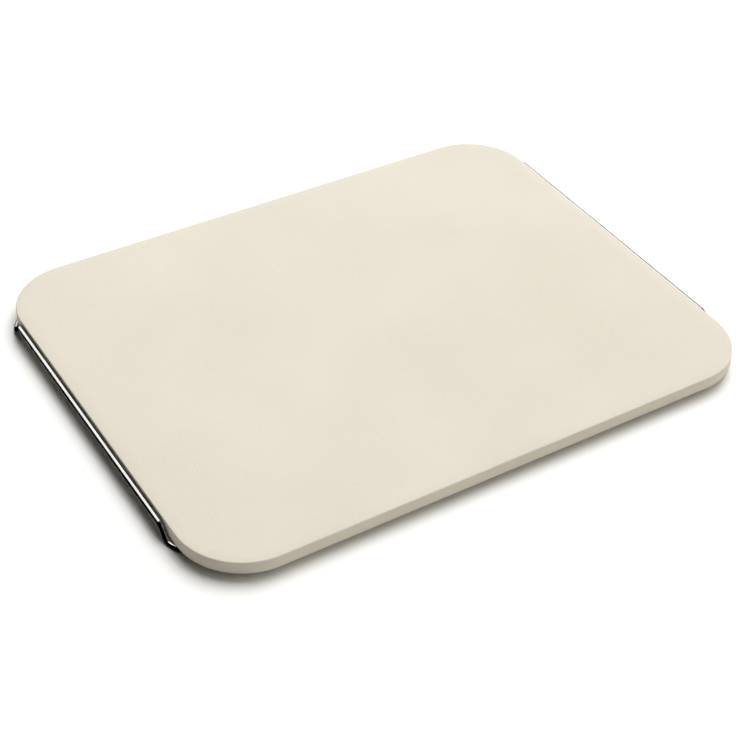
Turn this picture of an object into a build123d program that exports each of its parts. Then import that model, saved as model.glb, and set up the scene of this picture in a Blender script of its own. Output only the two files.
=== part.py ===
from build123d import *
import math
import os

# Baking stone on its wire rack, in millimetres.
# X runs along the stone, +X to the right. Y runs from front to back. Z is up from the table.
# The origin lies on the table under the middle of the stone.

# The stone: a pressed and fired plate
stone_length = 380.0
stone_width = 300.0
stone_thickness = 8.8
stone_corner_radius = 42.0
stone_top_edge_radius = 0.8
stone_bottom_edge_radius = 1.2

# The rack: round wire, bent and welded, with its two ends raised beside the stone
wire_diameter = 3.0
bar_below_top = 3.4             # from the stone's top face down to the middle of the raised wire
bar_front_inset = 59.0          # from the stone's front to the raised wire's front bend
bar_rear_inset = 45.0           # the same at the stone's rear
leg_slope = 45.0                # how steeply a bow's legs come down, in degrees
leg_bend_radius = 5.0           # middle line of the bends above and below each leg
front_toe_in = 14.0             # how far a leg's foot turns towards the stone, in degrees
rear_toe_in = 28.0              # the same at the rear
corner_bend_radius = 24.0
bow_tail_length = 12.0          # least straight end of a bow under the stone, up to its butt weld
cross_wire_count = 3

# Fit of the loose stone in its rack
side_clearance = 0.3
seat_clearance = 0.3

# Levels and lines that the pieces share
wire_radius = wire_diameter / 2
low_level = wire_radius
stone_bottom = wire_diameter + seat_clearance
stone_top = stone_bottom + stone_thickness
high_level = stone_top - bar_below_top
bar_line = stone_length / 2 + side_clearance + wire_radius
slope = math.radians(leg_slope)
rail_end = bar_line - corner_bend_radius - bow_tail_length
cross_wire_pitch = 2 * rail_end / (cross_wire_count + 1)

# What differs between the bow's two ends, by the end's sign: -1 at the front and 1 at the rear
bar_inset = {-1: bar_front_inset, 1: bar_rear_inset}
toe_in = {-1: math.radians(front_toe_in), 1: math.radians(rear_toe_in)}


def make_stone():
    """The slab: a plate with round corners and softened edges."""
    with BuildPart() as slab:
        with BuildSketch(Plane.XY.offset(stone_bottom)):
            RectangleRounded(stone_length, stone_width, stone_corner_radius)
        extrude(amount=stone_thickness)
        rims = slab.faces().sort_by(Axis.Z)
        fillet(rims[-1].edges(), stone_top_edge_radius)
        bottom = slab.faces().sort_by(Axis.Z)[0]
        fillet(bottom.edges(), stone_bottom_edge_radius)
    return slab.part


def bend_step(heading, new_heading, radius):
    """How far a bend carries a wire that turns from one heading to another."""
    axis = heading.cross(new_heading).normalized()
    return axis.cross(heading - new_heading) * radius


def bend_arc(start, heading, new_heading, radius):
    """The arc of such a bend, and the place where it ends."""
    axis = heading.cross(new_heading).normalized()
    mid_heading = (heading + new_heading).normalized()
    middle = start + axis.cross(heading - mid_heading) * radius
    end = start + bend_step(heading, new_heading, radius)
    return ThreePointArc(start, middle, end), end


def bow_end(side, end):
    """Middle line of one end of a bow, from the raised bar down and round the corner to its tail."""
    outward = Vector(0, end, 0)
    leg_heading = Vector(0, end * math.cos(slope), -math.sin(slope))
    foot_heading = Vector(-side * math.sin(toe_in[end]), end * math.cos(toe_in[end]), 0)
    inward = Vector(-side, 0, 0)
    bar_end = Vector(side * bar_line, end * (stone_width / 2 - bar_inset[end]), high_level)
    down_step = bend_step(outward, leg_heading, leg_bend_radius)
    foot_step = bend_step(leg_heading, foot_heading, leg_bend_radius)
    leg_drop = high_level - low_level + down_step.Z + foot_step.Z
    leg_length = leg_drop / math.sin(slope)
    down_bend, leg_top = bend_arc(bar_end, outward, leg_heading, leg_bend_radius)
    leg_foot = leg_top + leg_heading * leg_length
    foot_bend, foot_end = bend_arc(leg_foot, leg_heading, foot_heading, leg_bend_radius)
    corner_bend, tail_start = bend_arc(foot_end, foot_heading, inward, corner_bend_radius)
    tail_end = Vector(side * rail_end, tail_start.Y, tail_start.Z)
    lines = [
        down_bend,
        Line(leg_top, leg_foot),
        foot_bend,
        corner_bend,
        Line(tail_start, tail_end),
    ]
    return lines, bar_end, tail_end


def rail_line(end):
    """Where the rail at one end of the bows runs, from front to back."""
    return bow_end(1, end)[2].Y


def make_end_bow(side):
    """One bent wire, swept along its route from the front tail's end.

    side is -1 for the left bow and 1 for the right one.
    """
    front_lines, front_bar_end, start = bow_end(side, -1)
    rear_lines, rear_bar_end, finish = bow_end(side, 1)
    route = Wire(front_lines + [Line(front_bar_end, rear_bar_end)] + rear_lines)
    section = Plane(start, z_dir=(side, 0, 0)) * Circle(wire_radius)
    return sweep(section, path=route)


def straight_wire(start, end):
    """A round wire from one point to another."""
    run = Vector(*end) - Vector(*start)
    return Plane(start, z_dir=run) * Cylinder(
        wire_radius, run.length, align=(Align.CENTER, Align.CENTER, Align.MIN)
    )


def make_rail(end):
    """A long wire under the stone, from tail to tail of the two bows."""
    line = rail_line(end)
    return straight_wire((-rail_end, line, low_level), (rail_end, line, low_level))


def make_cross_wire(place, rails):
    """A wire from rail to rail, with both ends coped to sit round the rails."""
    across = place * cross_wire_pitch
    front = (across, rail_line(-1), low_level)
    back = (across, rail_line(1), low_level)
    wire = straight_wire(front, back)
    for rail in rails:
        wire -= rail
    return max(wire.solids(), key=lambda piece: piece.volume)


def cross_wire_places():
    """Places of the cross wires in pitches from the middle, from left to right."""
    return [index - (cross_wire_count - 1) / 2 for index in range(cross_wire_count)]


def make_parts():
    """All pieces by name."""
    parts = {
        "stone": make_stone(),
        "left_end_bow": make_end_bow(-1),
        "right_end_bow": make_end_bow(1),
        "front_rail": make_rail(-1),
        "rear_rail": make_rail(1),
    }
    rails = [parts["front_rail"], parts["rear_rail"]]
    names = ["cross_wire_left", "cross_wire_middle", "cross_wire_right"]
    for name, place in zip(names, cross_wire_places()):
        parts[name] = make_cross_wire(place, rails)
    return parts


os.makedirs("parts", exist_ok=True)
for name, part in make_parts().items():
    part.label = name
    export_step(part, f"parts/{name}.step")
    print(name, round(part.volume), "cubic mm")
print("height", round(stone_top, 2))
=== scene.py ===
# %% [markdown]
# # A baking stone on its wire rack
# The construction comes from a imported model, which is a fixed frame: the stone and the wires lie
# where they belong and at their real size, in metres. This script dresses them. Every piece is
# modelled again in finer form in the place of its plain solid, and gets a finish made of nodes.

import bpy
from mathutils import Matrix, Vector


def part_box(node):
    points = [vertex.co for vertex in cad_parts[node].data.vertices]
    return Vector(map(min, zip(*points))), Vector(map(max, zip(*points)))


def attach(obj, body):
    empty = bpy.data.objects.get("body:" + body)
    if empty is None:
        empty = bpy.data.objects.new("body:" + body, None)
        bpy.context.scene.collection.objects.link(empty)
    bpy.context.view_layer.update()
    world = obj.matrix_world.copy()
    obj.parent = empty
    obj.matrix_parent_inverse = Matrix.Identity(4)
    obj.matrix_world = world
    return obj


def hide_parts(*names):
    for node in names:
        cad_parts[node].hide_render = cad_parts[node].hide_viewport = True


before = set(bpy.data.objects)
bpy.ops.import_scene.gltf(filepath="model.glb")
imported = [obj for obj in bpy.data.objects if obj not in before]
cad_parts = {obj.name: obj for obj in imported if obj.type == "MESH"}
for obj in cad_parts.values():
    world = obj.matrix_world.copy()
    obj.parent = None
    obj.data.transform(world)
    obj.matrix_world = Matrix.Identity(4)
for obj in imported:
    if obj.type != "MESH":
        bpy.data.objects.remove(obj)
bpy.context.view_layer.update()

MM = 0.001

# %% [markdown]
# ## Sizes
# All places come from the boxes of the solids, so the dressed pieces fit by themselves. Only what a
# box can't tell, such as the radius of a corner, is repeated here as a real size.

# %% Read the sizes from the solids
import math

import bpy
from mathutils import Matrix, Vector

stone_low, stone_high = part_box("stone")
rail_low, rail_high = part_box("front_rail")
rear_rail_low, rear_rail_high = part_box("rear_rail")
bow_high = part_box("right_end_bow")[1]

stone_corner_radius = 42 * MM
stone_top_edge_radius = 0.8 * MM
stone_bottom_edge_radius = 1.2 * MM
bar_front_inset = 59 * MM  # from the stone's front to the raised wire's front bend
bar_rear_inset = 45 * MM   # the same at the stone's rear
leg_slope = math.radians(45)
leg_bend_radius = 5 * MM
front_toe_in = math.radians(14)  # how far a leg's foot turns towards the stone
rear_toe_in = math.radians(28)
corner_bend_radius = 24 * MM

wire_radius = (rail_high.z - rail_low.z) / 2
low_level = rail_low.z + wire_radius
high_level = bow_high.z - wire_radius
bar_line = bow_high.x - wire_radius
front_line = (rail_low.y + rail_high.y) / 2
rear_line = (rear_rail_low.y + rear_rail_high.y) / 2
rail_end = rail_high.x
print("wire", round(2 * wire_radius / MM, 2), "mm, raised by", round((high_level - low_level) / MM, 2), "mm")

# %% [markdown]
# ## Helpers for modelling
# Operators act on everything that is selected, so each piece begins with nothing selected. Parts of
# a mesh are picked in object mode, by where they are, before edit mode takes them up.

# %% Select and pick
def start_afresh():
    """Leave edit mode and select nothing."""
    if bpy.context.object and bpy.context.object.mode != "OBJECT":
        bpy.ops.object.mode_set(mode="OBJECT")
    bpy.ops.object.select_all(action="DESELECT")


def take_up(piece):
    """Select one piece alone, for the next operator to act on."""
    start_afresh()
    piece.select_set(True)
    bpy.context.view_layer.objects.active = piece


def pick(piece, mode, wanted):
    """Select the vertices, edges or faces whose middle is wanted, and go into edit mode."""
    bpy.ops.object.mode_set(mode="EDIT")
    bpy.ops.mesh.select_mode(type=mode)
    bpy.ops.mesh.select_all(action="DESELECT")
    bpy.ops.object.mode_set(mode="OBJECT")
    mesh = piece.data
    parts = {"VERT": mesh.vertices, "EDGE": mesh.edges, "FACE": mesh.polygons}[mode]
    for part in parts:
        corners = [part.index] if mode == "VERT" else part.vertices
        points = [mesh.vertices[corner].co for corner in corners]
        part.select = wanted(sum(points, Vector()) / len(points), points)
    bpy.ops.object.mode_set(mode="EDIT")

# %% Copy and finish
smooth_below = math.radians(40)  # edges that turn by less are shaded smooth


def copy_piece(piece, step=(0, 0, 0)):
    """A copy of a piece with a mesh of its own, moved by a step."""
    take_up(piece)
    bpy.ops.object.duplicate()
    bpy.ops.transform.translate(value=step)
    return bpy.context.object


def finish_piece(piece, name, body, *nodes):
    """Name a piece, smooth it, and let it stand for its plain solids on a body."""
    take_up(piece)
    bpy.ops.object.transform_apply(location=True, rotation=True, scale=True)
    bpy.ops.object.shade_smooth_by_angle(angle=smooth_below)
    piece.name = name
    piece.data.name = name
    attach(piece, body)
    if nodes:
        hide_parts(*nodes)
    print(name, len(piece.data.polygons), "faces")

# %% [markdown]
# ## Camera
# The camera stands in front of the stone, to the left of its middle, and looks down on it. Its
# place was worked out from the outline of a stone of this size in the photograph.

# %% Place the camera
camera_left = 446.8 * MM
camera_front = 709.1 * MM
camera_above_stone = 652.2 * MM
camera_heading = math.radians(33.309)  # turned to the right from straight back
camera_tilt = math.radians(39.465)     # looking down
camera_roll = math.radians(2.192)
sensor_width = 36.0
focal_length = 82.70
sideways_shift = -0.038

camera_data = bpy.data.cameras.new("camera")
camera_data.sensor_width = sensor_width
camera_data.lens = focal_length
camera_data.shift_x = sideways_shift
camera = bpy.data.objects.new("camera", camera_data)
bpy.context.scene.collection.objects.link(camera)
bpy.context.scene.camera = camera

camera_place = Vector((-camera_left, -camera_front, stone_high.z + camera_above_stone))
heading = Matrix.Rotation(-camera_heading, 4, "Z")
tilt = Matrix.Rotation(math.pi / 2 - camera_tilt, 4, "X")
roll = Matrix.Rotation(camera_roll, 4, "Z")
camera.matrix_world = Matrix.Translation(camera_place) @ heading @ tilt @ roll
print("camera at", [round(value / MM) for value in camera_place], "mm")

# %% [markdown]
# ## Floor
# The photograph is a studio shot on pure white: a narrow shadow hugs the object, nearly black on
# its left and paler in front. So the floor is a plain white plane, lit to just past what the picture
# can hold. A wire that mirrors a white floor would be white on white, so the floor is hidden from the
# chrome, which sees the dimmer room instead.

# %% Make the floor
floor_size = 3.4
floor_colour = "#FDFDFC"
floor_roughness = 0.9


def linear(value):
    """One sRGB channel, 0 to 1, as linear light."""
    return value / 12.92 if value <= 0.04045 else ((value + 0.055) / 1.055) ** 2.4


def colour(code):
    """An sRGB hex code as the linear colour that a node takes."""
    channels = [int(code[start : start + 2], 16) / 255 for start in (1, 3, 5)]
    return (*[linear(channel) for channel in channels], 1.0)


def new_material(name):
    """An empty node material, its node tree and its shader."""
    material = bpy.data.materials.new(name)
    material.use_nodes = True
    shader = material.node_tree.nodes["Principled BSDF"]
    return material, material.node_tree, shader


start_afresh()
bpy.ops.mesh.primitive_plane_add(size=floor_size)
floor = bpy.context.object
floor.name = "floor"
floor.visible_glossy = False
floor_material, _, floor_shader = new_material("white_studio_floor")
floor_shader.inputs["Base Color"].default_value = colour(floor_colour)
floor_shader.inputs["Roughness"].default_value = floor_roughness
floor.data.materials.append(floor_material)
print("floor", floor_size, "m wide")

# %% [markdown]
# ## Lights
# One large softbox hangs overhead, a little to the right and behind. It lights the slab and the floor
# and is hidden from the chrome. Two cards show in the chrome alone: a long one behind the object
# draws the bright line along the raised wire, and a small one in front catches the bows' legs. One
# light could do both jobs, but then each change to the shadow would also change the lines of light.

# %% Hang the softbox and the long card
key_power = 178.0
key_size = 3.3
key_distance = 4.0
key_elevation = math.radians(60)
key_heading = math.radians(47)  # from the right towards the back
card_power = 35.0
card_length = 3.4
card_height = 2.0
card_distance = 2.2
card_elevation = math.radians(42)
card_heading = math.radians(93)


def softbox(name, heading, elevation, distance, length, height, power):
    """A rectangular area light that points at the origin."""
    data = bpy.data.lights.new(name, "AREA")
    data.shape = "RECTANGLE"
    data.size = length
    data.size_y = height
    data.energy = power
    light = bpy.data.objects.new(name, data)
    bpy.context.scene.collection.objects.link(light)
    level = math.cos(elevation)
    toward = Vector((level * math.cos(heading), level * math.sin(heading), math.sin(elevation)))
    light.location = distance * toward
    light.rotation_euler = toward.to_track_quat("Z", "Y").to_euler()
    print(name, power, "W at", [round(value, 2) for value in light.location], "m")
    return light


key = softbox("key_light", key_heading, key_elevation, key_distance, key_size, key_size, key_power)
key.visible_glossy = False
card = softbox(
    "chrome_card", card_heading, card_elevation, card_distance, card_length, card_height, card_power
)
card.visible_diffuse = False

# %% Hang the small card
leg_card_power = 4.0
leg_card_size = 1.0
leg_card_elevation = math.radians(38)
leg_card_heading = math.radians(-50)  # from the right towards the front

leg_card = softbox(
    "leg_card",
    leg_card_heading,
    leg_card_elevation,
    card_distance,
    leg_card_size,
    leg_card_size,
    leg_card_power,
)
leg_card.visible_diffuse = False

# %% [markdown]
# ## Room
# The room is bright on the right and dark on the left, which sets how deep the shadow is on each
# side. A picture of a studio could light the scene. Here the sideways part of each direction is
# turned into brightness instead, which takes two levels and the two directions between which they
# blend. The Light Path node tells what kind of ray arrives, so the chrome mirrors a dimmer room, and
# the camera sees plain white past the edge of the floor.

# %% Light the room
room_colour = "#FFFCF4"
room_dark = 0.004
room_bright = 1.04
room_turn_dark = -0.06  # sideways part of the direction where the room is darkest
room_turn_bright = 0.5  # and where it is brightest
room_in_chrome = 0.1    # share of the room's light that the chrome sees
room_past_floor = 1.2   # added where the camera sees the room, which makes it white


def add_node(tree, kind, inputs=None, **settings):
    """Add a node with its settings. Its inputs are values, or sockets to link from."""
    node = tree.nodes.new(kind)
    for name, value in settings.items():
        setattr(node, name, value)
    for name, value in (inputs or {}).items():
        if isinstance(value, bpy.types.NodeSocket):
            tree.links.new(value, node.inputs[name])
        else:
            node.inputs[name].default_value = value
    return node


world = bpy.data.worlds.new("studio")
world.use_nodes = True
room = world.node_tree
direction = add_node(room, "ShaderNodeTexCoord").outputs["Generated"]
sideways = add_node(room, "ShaderNodeSeparateXYZ", {"Vector": direction}).outputs["X"]
blend = {
    "Value": sideways,
    "From Min": room_turn_dark,
    "From Max": room_turn_bright,
    "To Min": room_dark,
    "To Max": room_bright,
}
brightness = add_node(room, "ShaderNodeMapRange", blend, interpolation_type="SMOOTHSTEP").outputs[0]
light_path = add_node(room, "ShaderNodeLightPath").outputs
dimming = {"Value": light_path["Is Glossy Ray"], "To Min": 1.0, "To Max": room_in_chrome}
dimmer = add_node(room, "ShaderNodeMapRange", dimming).outputs[0]
light = add_node(room, "ShaderNodeMath", {0: brightness, 1: dimmer}, operation="MULTIPLY").outputs[0]
whitening = {0: light_path["Is Camera Ray"], 1: room_past_floor, 2: light}
strength = add_node(room, "ShaderNodeMath", whitening, operation="MULTIPLY_ADD").outputs[0]
backdrop = room.nodes["Background"]
backdrop.inputs["Color"].default_value = colour(room_colour)
room.links.new(strength, backdrop.inputs["Strength"])
bpy.context.scene.world = world
bpy.context.scene.view_settings.view_transform = "Standard"  # keeps white white and cream cream
print("room", room_dark, "on the left and", room_bright, "on the right")

# %% [markdown]
# ## The stone
# The real slab is pressed from a damp mix of cordierite clay and grit and then fired, so it is a
# plain plate with round corners and softened rims, and never quite flat. It could be one rounded
# rectangle, extruded. Here it starts as a cube, because bevels of chosen edges round its corners
# and rims just as the mould does, and slices across it then give it enough points to be uneven.

# %% Bevel and slice
hair = 0.01 * MM     # what lies nearer than this is in the same place
round_profile = 0.5  # the bevel operator's value for a round edge


def bevel_edges(piece, wanted, radius, steps):
    """Round the wanted edges."""
    pick(piece, "EDGE", wanted)
    bpy.ops.mesh.bevel(offset=radius, segments=steps, profile=round_profile, affect="EDGES")
    bpy.ops.object.mode_set(mode="OBJECT")


def slice_across(axis, low, high, pitch):
    """Cut the piece in hand along evenly spaced planes, without taking it apart."""
    count = round((high[axis] - low[axis]) / pitch)
    normal = Vector((0, 0, 0))
    normal[axis] = 1
    bpy.ops.object.mode_set(mode="EDIT")
    for index in range(1, count):
        place = low.lerp(high, index / count)
        bpy.ops.mesh.select_all(action="SELECT")
        bpy.ops.mesh.bisect(plane_co=place, plane_no=normal)
    bpy.ops.object.mode_set(mode="OBJECT")


def upright(middle, points):
    """Whether an edge stands upright."""
    return (points[0] - points[1]).xy.length < hair


def at_height(height):
    """A test for edges that lie at one height."""
    return lambda middle, points: all(abs(point.z - height) < hair for point in points)

# %% Model the slab
corner_steps = 24
rim_steps = 5
slice_pitch = 8 * MM

start_afresh()
bpy.ops.mesh.primitive_cube_add(size=1, location=(stone_low + stone_high) / 2)
slab = bpy.context.object
slab.dimensions = stone_high - stone_low
bpy.ops.object.transform_apply(location=True, rotation=True, scale=True)
bevel_edges(slab, upright, stone_corner_radius, corner_steps)
bevel_edges(slab, at_height(stone_high.z), stone_top_edge_radius, rim_steps)
bevel_edges(slab, at_height(stone_low.z), stone_bottom_edge_radius, rim_steps)
slice_across(0, stone_low, stone_high, slice_pitch)
slice_across(1, stone_low, stone_high, slice_pitch)
print("slab", [round(side / MM, 1) for side in slab.dimensions], "mm")

# %% Make the slab a little uneven
unevenness = 0.12 * MM
unevenness_grain = 70 * MM

swells = bpy.data.textures.new("firing_swells", "CLOUDS")
swells.noise_scale = unevenness_grain
uneven = slab.modifiers.new("uneven", "DISPLACE")
uneven.texture = swells
uneven.texture_coords = "LOCAL"
uneven.strength = unevenness
uneven.mid_level = 1.0  # only inwards, so the slab keeps within its size
bpy.ops.object.modifier_apply(modifier=uneven.name)
finish_piece(slab, "cordierite_slab", "stone", "stone")

# %% [markdown]
# ## The wires
# The rack is round steel wire: two end bows, whose middle rises beside the stone, two rails under
# it and three wires across. A curve with a bevel could draw them. Here each is a circle that is
# extruded where the wire runs straight and spun where it is bent, as a bending bench would do.

# %% Feed and bend wire
wire_sides = 32
facet_turn = math.radians(6)  # how far a bend turns from one ring of points to the next
merge_reach = hair / 10


def start_wire(place, direction):
    """A circle of the wire's size at a place, facing a direction, in edit mode."""
    start_afresh()
    facing = Vector(direction).to_track_quat("Z", "Y").to_euler()
    bpy.ops.mesh.primitive_circle_add(
        vertices=wire_sides, radius=wire_radius, location=place, rotation=facing
    )
    bpy.ops.object.transform_apply(location=True, rotation=True, scale=True)
    bpy.ops.object.mode_set(mode="EDIT")
    bpy.ops.mesh.select_mode(type="EDGE")
    bpy.ops.mesh.select_all(action="SELECT")
    return bpy.context.object


def bend_step(heading, new_heading, radius):
    """How far a bend carries a wire that turns from one heading to another."""
    axis = heading.cross(new_heading).normalized()
    return axis.cross(heading - new_heading) * radius


def feed(place, step):
    """Extrude the open end of the wire, and return where it is then."""
    bpy.ops.mesh.extrude_region_move(TRANSFORM_OT_translate={"value": step})
    return place + step


def bend(place, heading, new_heading, radius):
    """Spin the open end of the wire to a new heading, and return where it is then."""
    axis = heading.cross(new_heading).normalized()
    turn = heading.angle(new_heading)
    centre = place + axis.cross(heading) * radius
    steps = math.ceil(turn / facet_turn)
    bpy.ops.mesh.spin(steps=steps, angle=turn, center=centre, axis=-axis)  # it turns left-handed
    return place + bend_step(heading, new_heading, radius)


def close_wire(wire):
    """Close both ends of the wire and turn its faces outwards."""
    bpy.ops.mesh.select_all(action="SELECT")
    bpy.ops.mesh.remove_doubles(threshold=merge_reach)
    bpy.ops.mesh.select_all(action="DESELECT")
    bpy.ops.mesh.select_non_manifold()
    bpy.ops.mesh.fill_holes(sides=0)  # 0 stands for holes of any size
    bpy.ops.mesh.select_all(action="SELECT")
    bpy.ops.mesh.normals_make_consistent(inside=False)
    bpy.ops.object.mode_set(mode="OBJECT")
    return wire

# %% [markdown]
# ## The end bows
# A bow is one wire. Seen from its raised bar, each end bends down into a sloping leg, levels out at
# the leg's foot and turns a little towards the stone, and goes round a wide corner to a straight
# tail under the stone. Its points could be written down one by one. Here they follow from the
# headings and the radii of the bends, so that the legs come out just as long as the levels ask. The
# left bow is the right one mirrored.

# %% Work out the legs
bar_ends = {-1: stone_low.y + bar_front_inset, 1: stone_high.y - bar_rear_inset}
toe_in = {-1: front_toe_in, 1: rear_toe_in}
bend_radii = [leg_bend_radius, leg_bend_radius, corner_bend_radius]


def headings(end):
    """The right bow's headings at one end: along the bar, down the leg, off its foot, to its tail."""
    along = Vector((0, end, 0))
    down = Vector((0, end * math.cos(leg_slope), -math.sin(leg_slope)))
    off = Vector((-math.sin(toe_in[end]), end * math.cos(toe_in[end]), 0))
    return [along, down, off, Vector((-1, 0, 0))]


ways, bend_steps, legs = {}, {}, {}
for end in (-1, 1):
    ways[end] = headings(end)
    bend_steps[end] = [bend_step(*turn) for turn in zip(ways[end], ways[end][1:], bend_radii)]
    drop = high_level - low_level + bend_steps[end][0].z + bend_steps[end][1].z
    legs[end] = ways[end][1] * drop / math.sin(leg_slope)
    print("leg", round(legs[end].length / MM, 2), "mm between its bends")

# %% Bend the end bows
def bend_right_bow():
    """The right end bow, from its front tail up to the raised bar and down to its rear tail."""
    front_bar_end = Vector((bar_line, bar_ends[-1], high_level))
    tail_start = front_bar_end + legs[-1] + sum(bend_steps[-1], Vector())
    place = Vector((rail_end, tail_start.y, low_level))
    bow = start_wire(place, (1, 0, 0))
    place = feed(place, tail_start - place)
    way = [-heading for heading in reversed(ways[-1])]
    place = bend(place, way[0], way[1], corner_bend_radius)
    place = bend(place, way[1], way[2], leg_bend_radius)
    place = feed(place, -legs[-1])
    place = bend(place, way[2], way[3], leg_bend_radius)
    place = feed(place, Vector((0, bar_ends[1] - place.y, 0)))
    way = ways[1]
    place = bend(place, way[0], way[1], leg_bend_radius)
    place = feed(place, legs[1])
    place = bend(place, way[1], way[2], leg_bend_radius)
    place = bend(place, way[2], way[3], corner_bend_radius)
    place = feed(place, Vector((rail_end - place.x, 0, 0)))
    print("bow ends at", [round(value / MM, 2) for value in place], "mm")
    return close_wire(bow)


def mirrored_copy(piece):
    """A copy of a piece with left and right swapped, and its faces turned outwards again."""
    copy = copy_piece(piece)
    bpy.ops.object.mode_set(mode="EDIT")
    bpy.ops.mesh.select_all(action="SELECT")
    bpy.ops.transform.resize(value=(-1, 1, 1), center_override=(0, 0, 0))
    bpy.ops.mesh.normals_make_consistent(inside=False)
    bpy.ops.object.mode_set(mode="OBJECT")
    return copy


right_bow = bend_right_bow()
left_bow = mirrored_copy(right_bow)
finish_piece(right_bow, "right_end_bow_wire", "rack", "right_end_bow")
finish_piece(left_bow, "left_end_bow_wire", "rack", "left_end_bow")

# %% [markdown]
# ## The straight wires
# The two rails carry on from the bows' tails, and three wires lie across between them. Each could be
# a cylinder primitive. Here each is a circle fed along its line, as in the bows, so that all wires
# have the same number of sides. One rail and one cross wire are made, and the others are copies.

# %% Lay the straight wires
def straight_wire(start, end):
    """A closed round wire from one point to another."""
    run = Vector(end) - Vector(start)
    wire = start_wire(start, run)
    feed(Vector(start), run)
    return close_wire(wire)


front_rail = straight_wire((-rail_end, front_line, low_level), (rail_end, front_line, low_level))
rear_rail = copy_piece(front_rail, (0, rear_line - front_line, 0))
finish_piece(front_rail, "front_rail_wire", "rack", "front_rail")
finish_piece(rear_rail, "rear_rail_wire", "rack", "rear_rail")

cross_boxes = {place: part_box("cross_wire_" + place) for place in ("left", "middle", "right")}
cross_lines = {place: (low.x + high.x) / 2 for place, (low, high) in cross_boxes.items()}
left_line = cross_lines["left"]
left_wire = straight_wire((left_line, front_line, low_level), (left_line, rear_line, low_level))
cross_wires = {"left": left_wire}
for place in ("middle", "right"):
    cross_wires[place] = copy_piece(left_wire, (cross_lines[place] - left_line, 0, 0))
for place, wire in cross_wires.items():
    finish_piece(wire, f"cross_wire_{place}_rod", "rack", f"cross_wire_{place}")

# %% [markdown]
# ## The welds
# The wires are resistance welded. Where two ends butt together the squeezed metal leaves a low
# round collar, and where a cross wire meets a rail it leaves a small swelling round the joint. Both
# are plated over. A boolean could melt the wires into one, but a bead that swells out of them looks
# the same and keeps the wires apart. Each kind of bead is a sphere that is stretched, and flattened
# where it would touch the stone or the table, and then copied to all its joints.

# %% Shape the beads
collar_swell = 0.28 * MM
collar_length = 2.6 * MM
cross_weld_length = 5.2 * MM
weld_rings = 14
weld_sides = 24


def flatten(bead, height, wanted):
    """Press the wanted points of a bead flat at a height."""
    pick(bead, "VERT", wanted)
    bpy.ops.transform.resize(value=(1, 1, 0), center_override=(0, 0, height))
    bpy.ops.object.mode_set(mode="OBJECT")


def weld_bead(place, size):
    """A smooth bead of a given size at a place, from a sphere 1 m across."""
    start_afresh()
    bpy.ops.mesh.primitive_uv_sphere_add(
        segments=weld_sides, ring_count=weld_rings, radius=0.5, location=place, scale=size
    )
    bead = bpy.context.object
    bpy.ops.object.transform_apply(location=True, rotation=True, scale=True)
    lowest = rail_low.z + hair
    highest = stone_low.z - hair
    flatten(bead, lowest, lambda middle, points: middle.z < lowest)
    flatten(bead, highest, lambda middle, points: middle.z > highest)
    print("bead", [round(side / MM, 2) for side in bead.dimensions], "mm")
    return bead


collar_width = 2 * (wire_radius + collar_swell)
collar_place = Vector((-rail_end, front_line, low_level))
collar = weld_bead(collar_place, (collar_length, collar_width, collar_width))
cross_weld_place = Vector((left_line, front_line + wire_radius, low_level))
cross_weld = weld_bead(cross_weld_place, (cross_weld_length, cross_weld_length, 2 * wire_radius))

# %% Set a bead at each joint
joints = {}
for row, line, inward in (("front", front_line, 1), ("rear", rear_line, -1)):
    for half, side in (("left", -1), ("right", 1)):
        joints[f"butt_weld_{row}_{half}"] = collar, Vector((side * rail_end, line, low_level))
    for place, cross_line in cross_lines.items():
        joint_place = Vector((cross_line, line + inward * wire_radius, low_level))
        joints[f"cross_weld_{row}_{place}"] = cross_weld, joint_place

first_places = {collar: collar_place, cross_weld: cross_weld_place}
welds = {
    name: copy_piece(bead, joint_place - first_places[bead])
    for name, (bead, joint_place) in joints.items()
}
for bead in first_places:
    bpy.data.objects.remove(bead)
for name, weld in welds.items():
    finish_piece(weld, name, "rack")

# %% [markdown]
# ## Cordierite
# The slab is fired cordierite, a dull cream ceramic. It gives the eye a chalky face with a faint
# cloudiness from the kiln, a fine grit, a few darker grains and pores, and a paler rim where the
# edge is rubbed. One flat cream would look like plastic. So noise of two sizes carries the clouds
# and the grit, the grit also sets the roughness, scattered cells carry the dark grains and the
# pores, and the slope of the surface finds the rim and the sides.
# The sides are painted a little lighter and yellower than the face. That is painted light, which stands in
# for how the light falls on them.

# %% Make the cordierite's colours
cordierite_cream = "#D9D3C6"
cordierite_shade = "#D5CEC0"  # where the kiln left it a little darker
grit_pale = "#E3DED1"
cloud_size = 85 * MM
cloud_detail = 4.0
cloud_levels = {"From Min": 0.35, "From Max": 0.65}  # of the noise, where a cloud begins and is full
grit_size = 1.1 * MM  # the real grit is about 0.5 mm, drawn at twice that so that it shows
grit_detail = 3.0
grit_fineness = 0.6   # how much its smaller waves count
grit_levels = {"From Min": 0.5, "From Max": 0.75, "To Max": 0.7}  # it never gets all the way to pale

# A Mix node lists the sockets of all its kinds, so its colour sockets are found by their numbers
MIX_SHARE, MIX_FROM, MIX_TO, MIX_RESULT = 0, 6, 7, 2

cordierite, tree, shader = new_material("cordierite")
place = add_node(tree, "ShaderNodeTexCoord").outputs["Object"]

cloud_noise = {"Vector": place, "Scale": 1 / cloud_size, "Detail": cloud_detail}
clouds = add_node(tree, "ShaderNodeTexNoise", cloud_noise).outputs[0]
shaded = add_node(tree, "ShaderNodeMapRange", {"Value": clouds, **cloud_levels}).outputs[0]
clouded = {MIX_SHARE: shaded, MIX_FROM: colour(cordierite_cream), MIX_TO: colour(cordierite_shade)}
clouded_clay = add_node(tree, "ShaderNodeMix", clouded, data_type="RGBA").outputs[MIX_RESULT]

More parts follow.
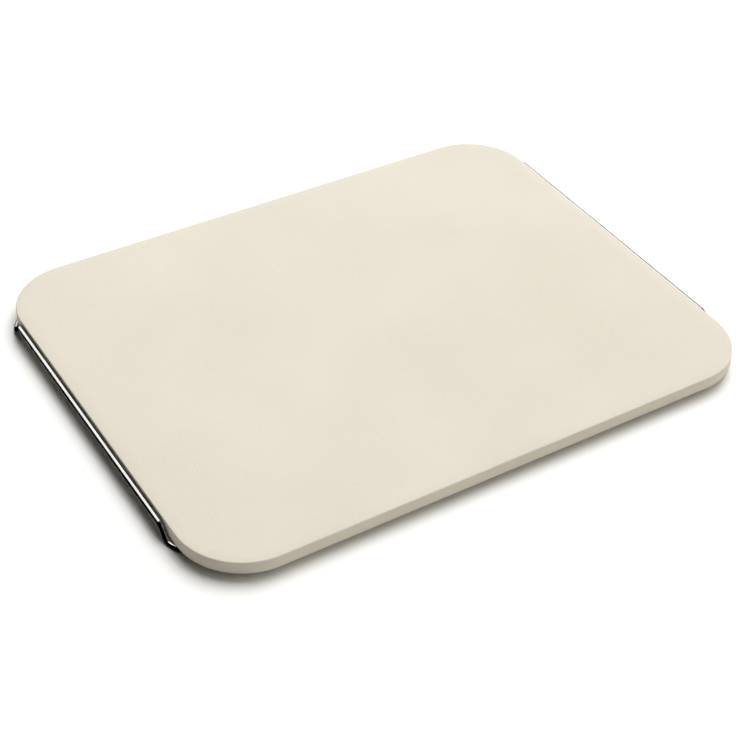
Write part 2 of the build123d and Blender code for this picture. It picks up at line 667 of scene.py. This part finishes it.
grit_noise = {
    "Vector": place,
    "Scale": 1 / grit_size,
    "Detail": grit_detail,
    "Roughness": grit_fineness,
}
grit = add_node(tree, "ShaderNodeTexNoise", grit_noise).outputs[0]
pale = add_node(tree, "ShaderNodeMapRange", {"Value": grit, **grit_levels}).outputs[0]
gritted = {MIX_SHARE: pale, MIX_FROM: clouded_clay, MIX_TO: colour(grit_pale)}
gritted_clay = add_node(tree, "ShaderNodeMix", gritted, data_type="RGBA").outputs[MIX_RESULT]
print("clay from", cordierite_cream, "to", cordierite_shade, "with grit of", grit_size / MM, "mm")

# %% Scatter the dark grains
grit_dark = "#A5977E"
grain_pitch = 9 * MM
grain_edges = {"From Min": 0.055, "From Max": 0.02}  # from rim to core, in pitches: it is 1 mm wide
grain_luck = {"From Min": 0.35, "From Max": 1.0, "To Max": 0.75}  # a third of the cells stay empty

cells = add_node(tree, "ShaderNodeTexVoronoi", {"Vector": place, "Scale": 1 / grain_pitch}).outputs
grains = add_node(tree, "ShaderNodeMapRange", {"Value": cells["Distance"], **grain_edges}).outputs[0]
chance = add_node(tree, "ShaderNodeSeparateColor", {"Color": cells["Color"]}).outputs["Red"]
luck = add_node(tree, "ShaderNodeMapRange", {"Value": chance, **grain_luck}).outputs[0]
dark = add_node(tree, "ShaderNodeMath", {0: grains, 1: luck}, operation="MULTIPLY").outputs[0]
grained = {MIX_SHARE: dark, MIX_FROM: gritted_clay, MIX_TO: colour(grit_dark)}
grained_clay = add_node(tree, "ShaderNodeMix", grained, data_type="RGBA").outputs[MIX_RESULT]
print("dark grains", grit_dark, "every", grain_pitch / MM, "mm")

# %% Rub the rim, and paint light on the sides
rim_pale = "#E6E2D6"
painted_side_light = "#DFD8C6"  # painted light: the sides are drawn lighter and yellower than the face, for how the light falls on them

# Each runs over the upward part of the surface's normal, which is 1 on the face and 0 on the sides
rim_from_side = {"From Min": 0.15, "From Max": 0.55, "To Max": 0.6}
rim_from_face = {"From Min": 0.999, "From Max": 0.93}
painted_side_light_levels = {"From Min": 0.5, "From Max": 0.1, "To Max": 0.8}

normal = add_node(tree, "ShaderNodeNewGeometry").outputs["Normal"]
upward = add_node(tree, "ShaderNodeSeparateXYZ", {"Vector": normal}).outputs["Z"]
above_side = add_node(tree, "ShaderNodeMapRange", {"Value": upward, **rim_from_side}).outputs[0]
below_face = add_node(tree, "ShaderNodeMapRange", {"Value": upward, **rim_from_face}).outputs[0]
both = {0: above_side, 1: below_face}
rubbed = add_node(tree, "ShaderNodeMath", both, operation="MULTIPLY").outputs[0]
rimmed = {MIX_SHARE: rubbed, MIX_FROM: grained_clay, MIX_TO: colour(rim_pale)}
rimmed_clay = add_node(tree, "ShaderNodeMix", rimmed, data_type="RGBA").outputs[MIX_RESULT]
# Painted light: the sides, found by their slope, are made lighter and yellower than the face
sides = add_node(tree, "ShaderNodeMapRange", {"Value": upward, **painted_side_light_levels}).outputs[0]
painted_side_light_mix = {MIX_SHARE: sides, MIX_FROM: rimmed_clay, MIX_TO: colour(painted_side_light)}
clay = add_node(tree, "ShaderNodeMix", painted_side_light_mix, data_type="RGBA").outputs[MIX_RESULT]
tree.links.new(clay, shader.inputs["Base Color"])
print("rim", rim_pale, "and sides", painted_side_light)

# %% Make the cordierite's surface
cordierite_ior = 1.54
clay_roughness = {"To Min": 0.70, "To Max": 0.88}
grit_depth = 0.05 * MM
pore_size = 2.4 * MM
pore_depth = 0.08 * MM
pore_edges = {"From Min": 0.05, "From Max": 0.2}  # bottom and brim of a pore, in pore sizes

shader.inputs["IOR"].default_value = cordierite_ior
roughness = add_node(tree, "ShaderNodeMapRange", {"Value": grit, **clay_roughness}).outputs[0]
tree.links.new(roughness, shader.inputs["Roughness"])

pore_cells = {"Vector": place, "Scale": 1 / pore_size}
from_pore = add_node(tree, "ShaderNodeTexVoronoi", pore_cells).outputs["Distance"]
pores = add_node(tree, "ShaderNodeMapRange", {"Value": from_pore, **pore_edges}).outputs[0]
pore_relief = {"Height": pores, "Strength": 1.0, "Distance": pore_depth}
pitted = add_node(tree, "ShaderNodeBump", pore_relief).outputs[0]
grit_relief = {"Height": grit, "Strength": 1.0, "Distance": grit_depth, "Normal": pitted}
gritty = add_node(tree, "ShaderNodeBump", grit_relief).outputs[0]
tree.links.new(gritty, shader.inputs["Normal"])
slab.data.materials.append(cordierite)
print("cordierite on", slab.name)

# %% [markdown]
# ## Chrome plating
# The wires are drawn steel, plated with nickel and then chrome. To the eye that is a mirror, a
# little darker than silver, with a faint haze in patches and fine lines along the wire, which the
# thin plating keeps from the drawing die. So the noise for the lines is stretched along the way
# that a wire mostly runs: along Y for the bows and the cross wires, along X for the rails.

# %% Make the chrome
chrome_grey = "#CCCBC7"
chrome_haze = "#BDBCB8"
haze_size = 14 * MM
haze_detail = 3.0
haze_levels = {"From Min": 0.35, "From Max": 0.7}
line_width = 0.35 * MM  # the real lines are finer, drawn this wide so that they show
line_length = 30 * MM
line_detail = 2.0
line_depth = 0.004 * MM
chrome_roughness = {"To Min": 0.08, "To Max": 0.22}


def drawn_chrome(name, scale):
    """Chrome with fine lines. scale is how often the lines change along X, Y and Z."""
    chrome, tree, shader = new_material(name)
    place = add_node(tree, "ShaderNodeTexCoord").outputs["Object"]
    haze_noise = {"Vector": place, "Scale": 1 / haze_size, "Detail": haze_detail}
    patches = add_node(tree, "ShaderNodeTexNoise", haze_noise).outputs[0]
    haze = add_node(tree, "ShaderNodeMapRange", {"Value": patches, **haze_levels}).outputs[0]
    hazed = {MIX_SHARE: haze, MIX_FROM: colour(chrome_grey), MIX_TO: colour(chrome_haze)}
    tint = add_node(tree, "ShaderNodeMix", hazed, data_type="RGBA").outputs[MIX_RESULT]
    tree.links.new(tint, shader.inputs["Base Color"])
    stretched = add_node(tree, "ShaderNodeMapping", {"Vector": place, "Scale": scale}).outputs[0]
    line_noise = {"Vector": stretched, "Scale": 1.0, "Detail": line_detail}
    lines = add_node(tree, "ShaderNodeTexNoise", line_noise).outputs[0]
    cover = add_node(tree, "ShaderNodeMath", {0: haze, 1: lines}, operation="MULTIPLY").outputs[0]
    roughness = add_node(tree, "ShaderNodeMapRange", {"Value": cover, **chrome_roughness}).outputs[0]
    tree.links.new(roughness, shader.inputs["Roughness"])
    line_relief = {"Height": lines, "Strength": 1.0, "Distance": line_depth}
    grooves = add_node(tree, "ShaderNodeBump", line_relief).outputs[0]
    tree.links.new(grooves, shader.inputs["Normal"])
    shader.inputs["Metallic"].default_value = 1.0
    return chrome

# %% Plate the wires
over_lines = 1 / line_width
along_lines = 1 / line_length
chrome_along_x = drawn_chrome("chrome_drawn_along_x", (along_lines, over_lines, over_lines))
chrome_along_y = drawn_chrome("chrome_drawn_along_y", (over_lines, along_lines, over_lines))
wire_chromes = {front_rail: chrome_along_x, rear_rail: chrome_along_x}
for wire in (right_bow, left_bow, *cross_wires.values()):
    wire_chromes[wire] = chrome_along_y
for wire, chrome in wire_chromes.items():
    wire.data.materials.append(chrome)
    print(wire.name, chrome.name)

# %% [markdown]
# ## Plated welds
# Plating covers the welds too, but the metal under it was melted: it is rippled and duller, and a
# little darker in its hollows. So the welds take the same metal with a rougher, wavy surface.

# %% Make the weld's finish
weld_grey = "#B4B4B3"
weld_hollow = "#8E8C89"
ripple_size = 0.9 * MM
ripple_detail = 2.0
ripple_levels = {"From Min": 0.3, "From Max": 0.7}
ripple_depth = 0.06 * MM
weld_roughness = {"To Min": 0.42, "To Max": 0.18}  # from the hollows to the crests

weld_finish, tree, shader = new_material("plated_weld")
place = add_node(tree, "ShaderNodeTexCoord").outputs["Object"]
ripple_noise = {"Vector": place, "Scale": 1 / ripple_size, "Detail": ripple_detail}
ripple = add_node(tree, "ShaderNodeTexNoise", ripple_noise).outputs[0]
height = add_node(tree, "ShaderNodeMapRange", {"Value": ripple, **ripple_levels}).outputs[0]
hollowed = {MIX_SHARE: height, MIX_FROM: colour(weld_hollow), MIX_TO: colour(weld_grey)}
tint = add_node(tree, "ShaderNodeMix", hollowed, data_type="RGBA").outputs[MIX_RESULT]
tree.links.new(tint, shader.inputs["Base Color"])
roughness = add_node(tree, "ShaderNodeMapRange", {"Value": height, **weld_roughness}).outputs[0]
tree.links.new(roughness, shader.inputs["Roughness"])
ripple_relief = {"Height": ripple, "Strength": 1.0, "Distance": ripple_depth}
wavy = add_node(tree, "ShaderNodeBump", ripple_relief).outputs[0]
tree.links.new(wavy, shader.inputs["Normal"])
shader.inputs["Metallic"].default_value = 1.0
for weld in welds.values():
    weld.data.materials.append(weld_finish)
print(len(welds), "welds")
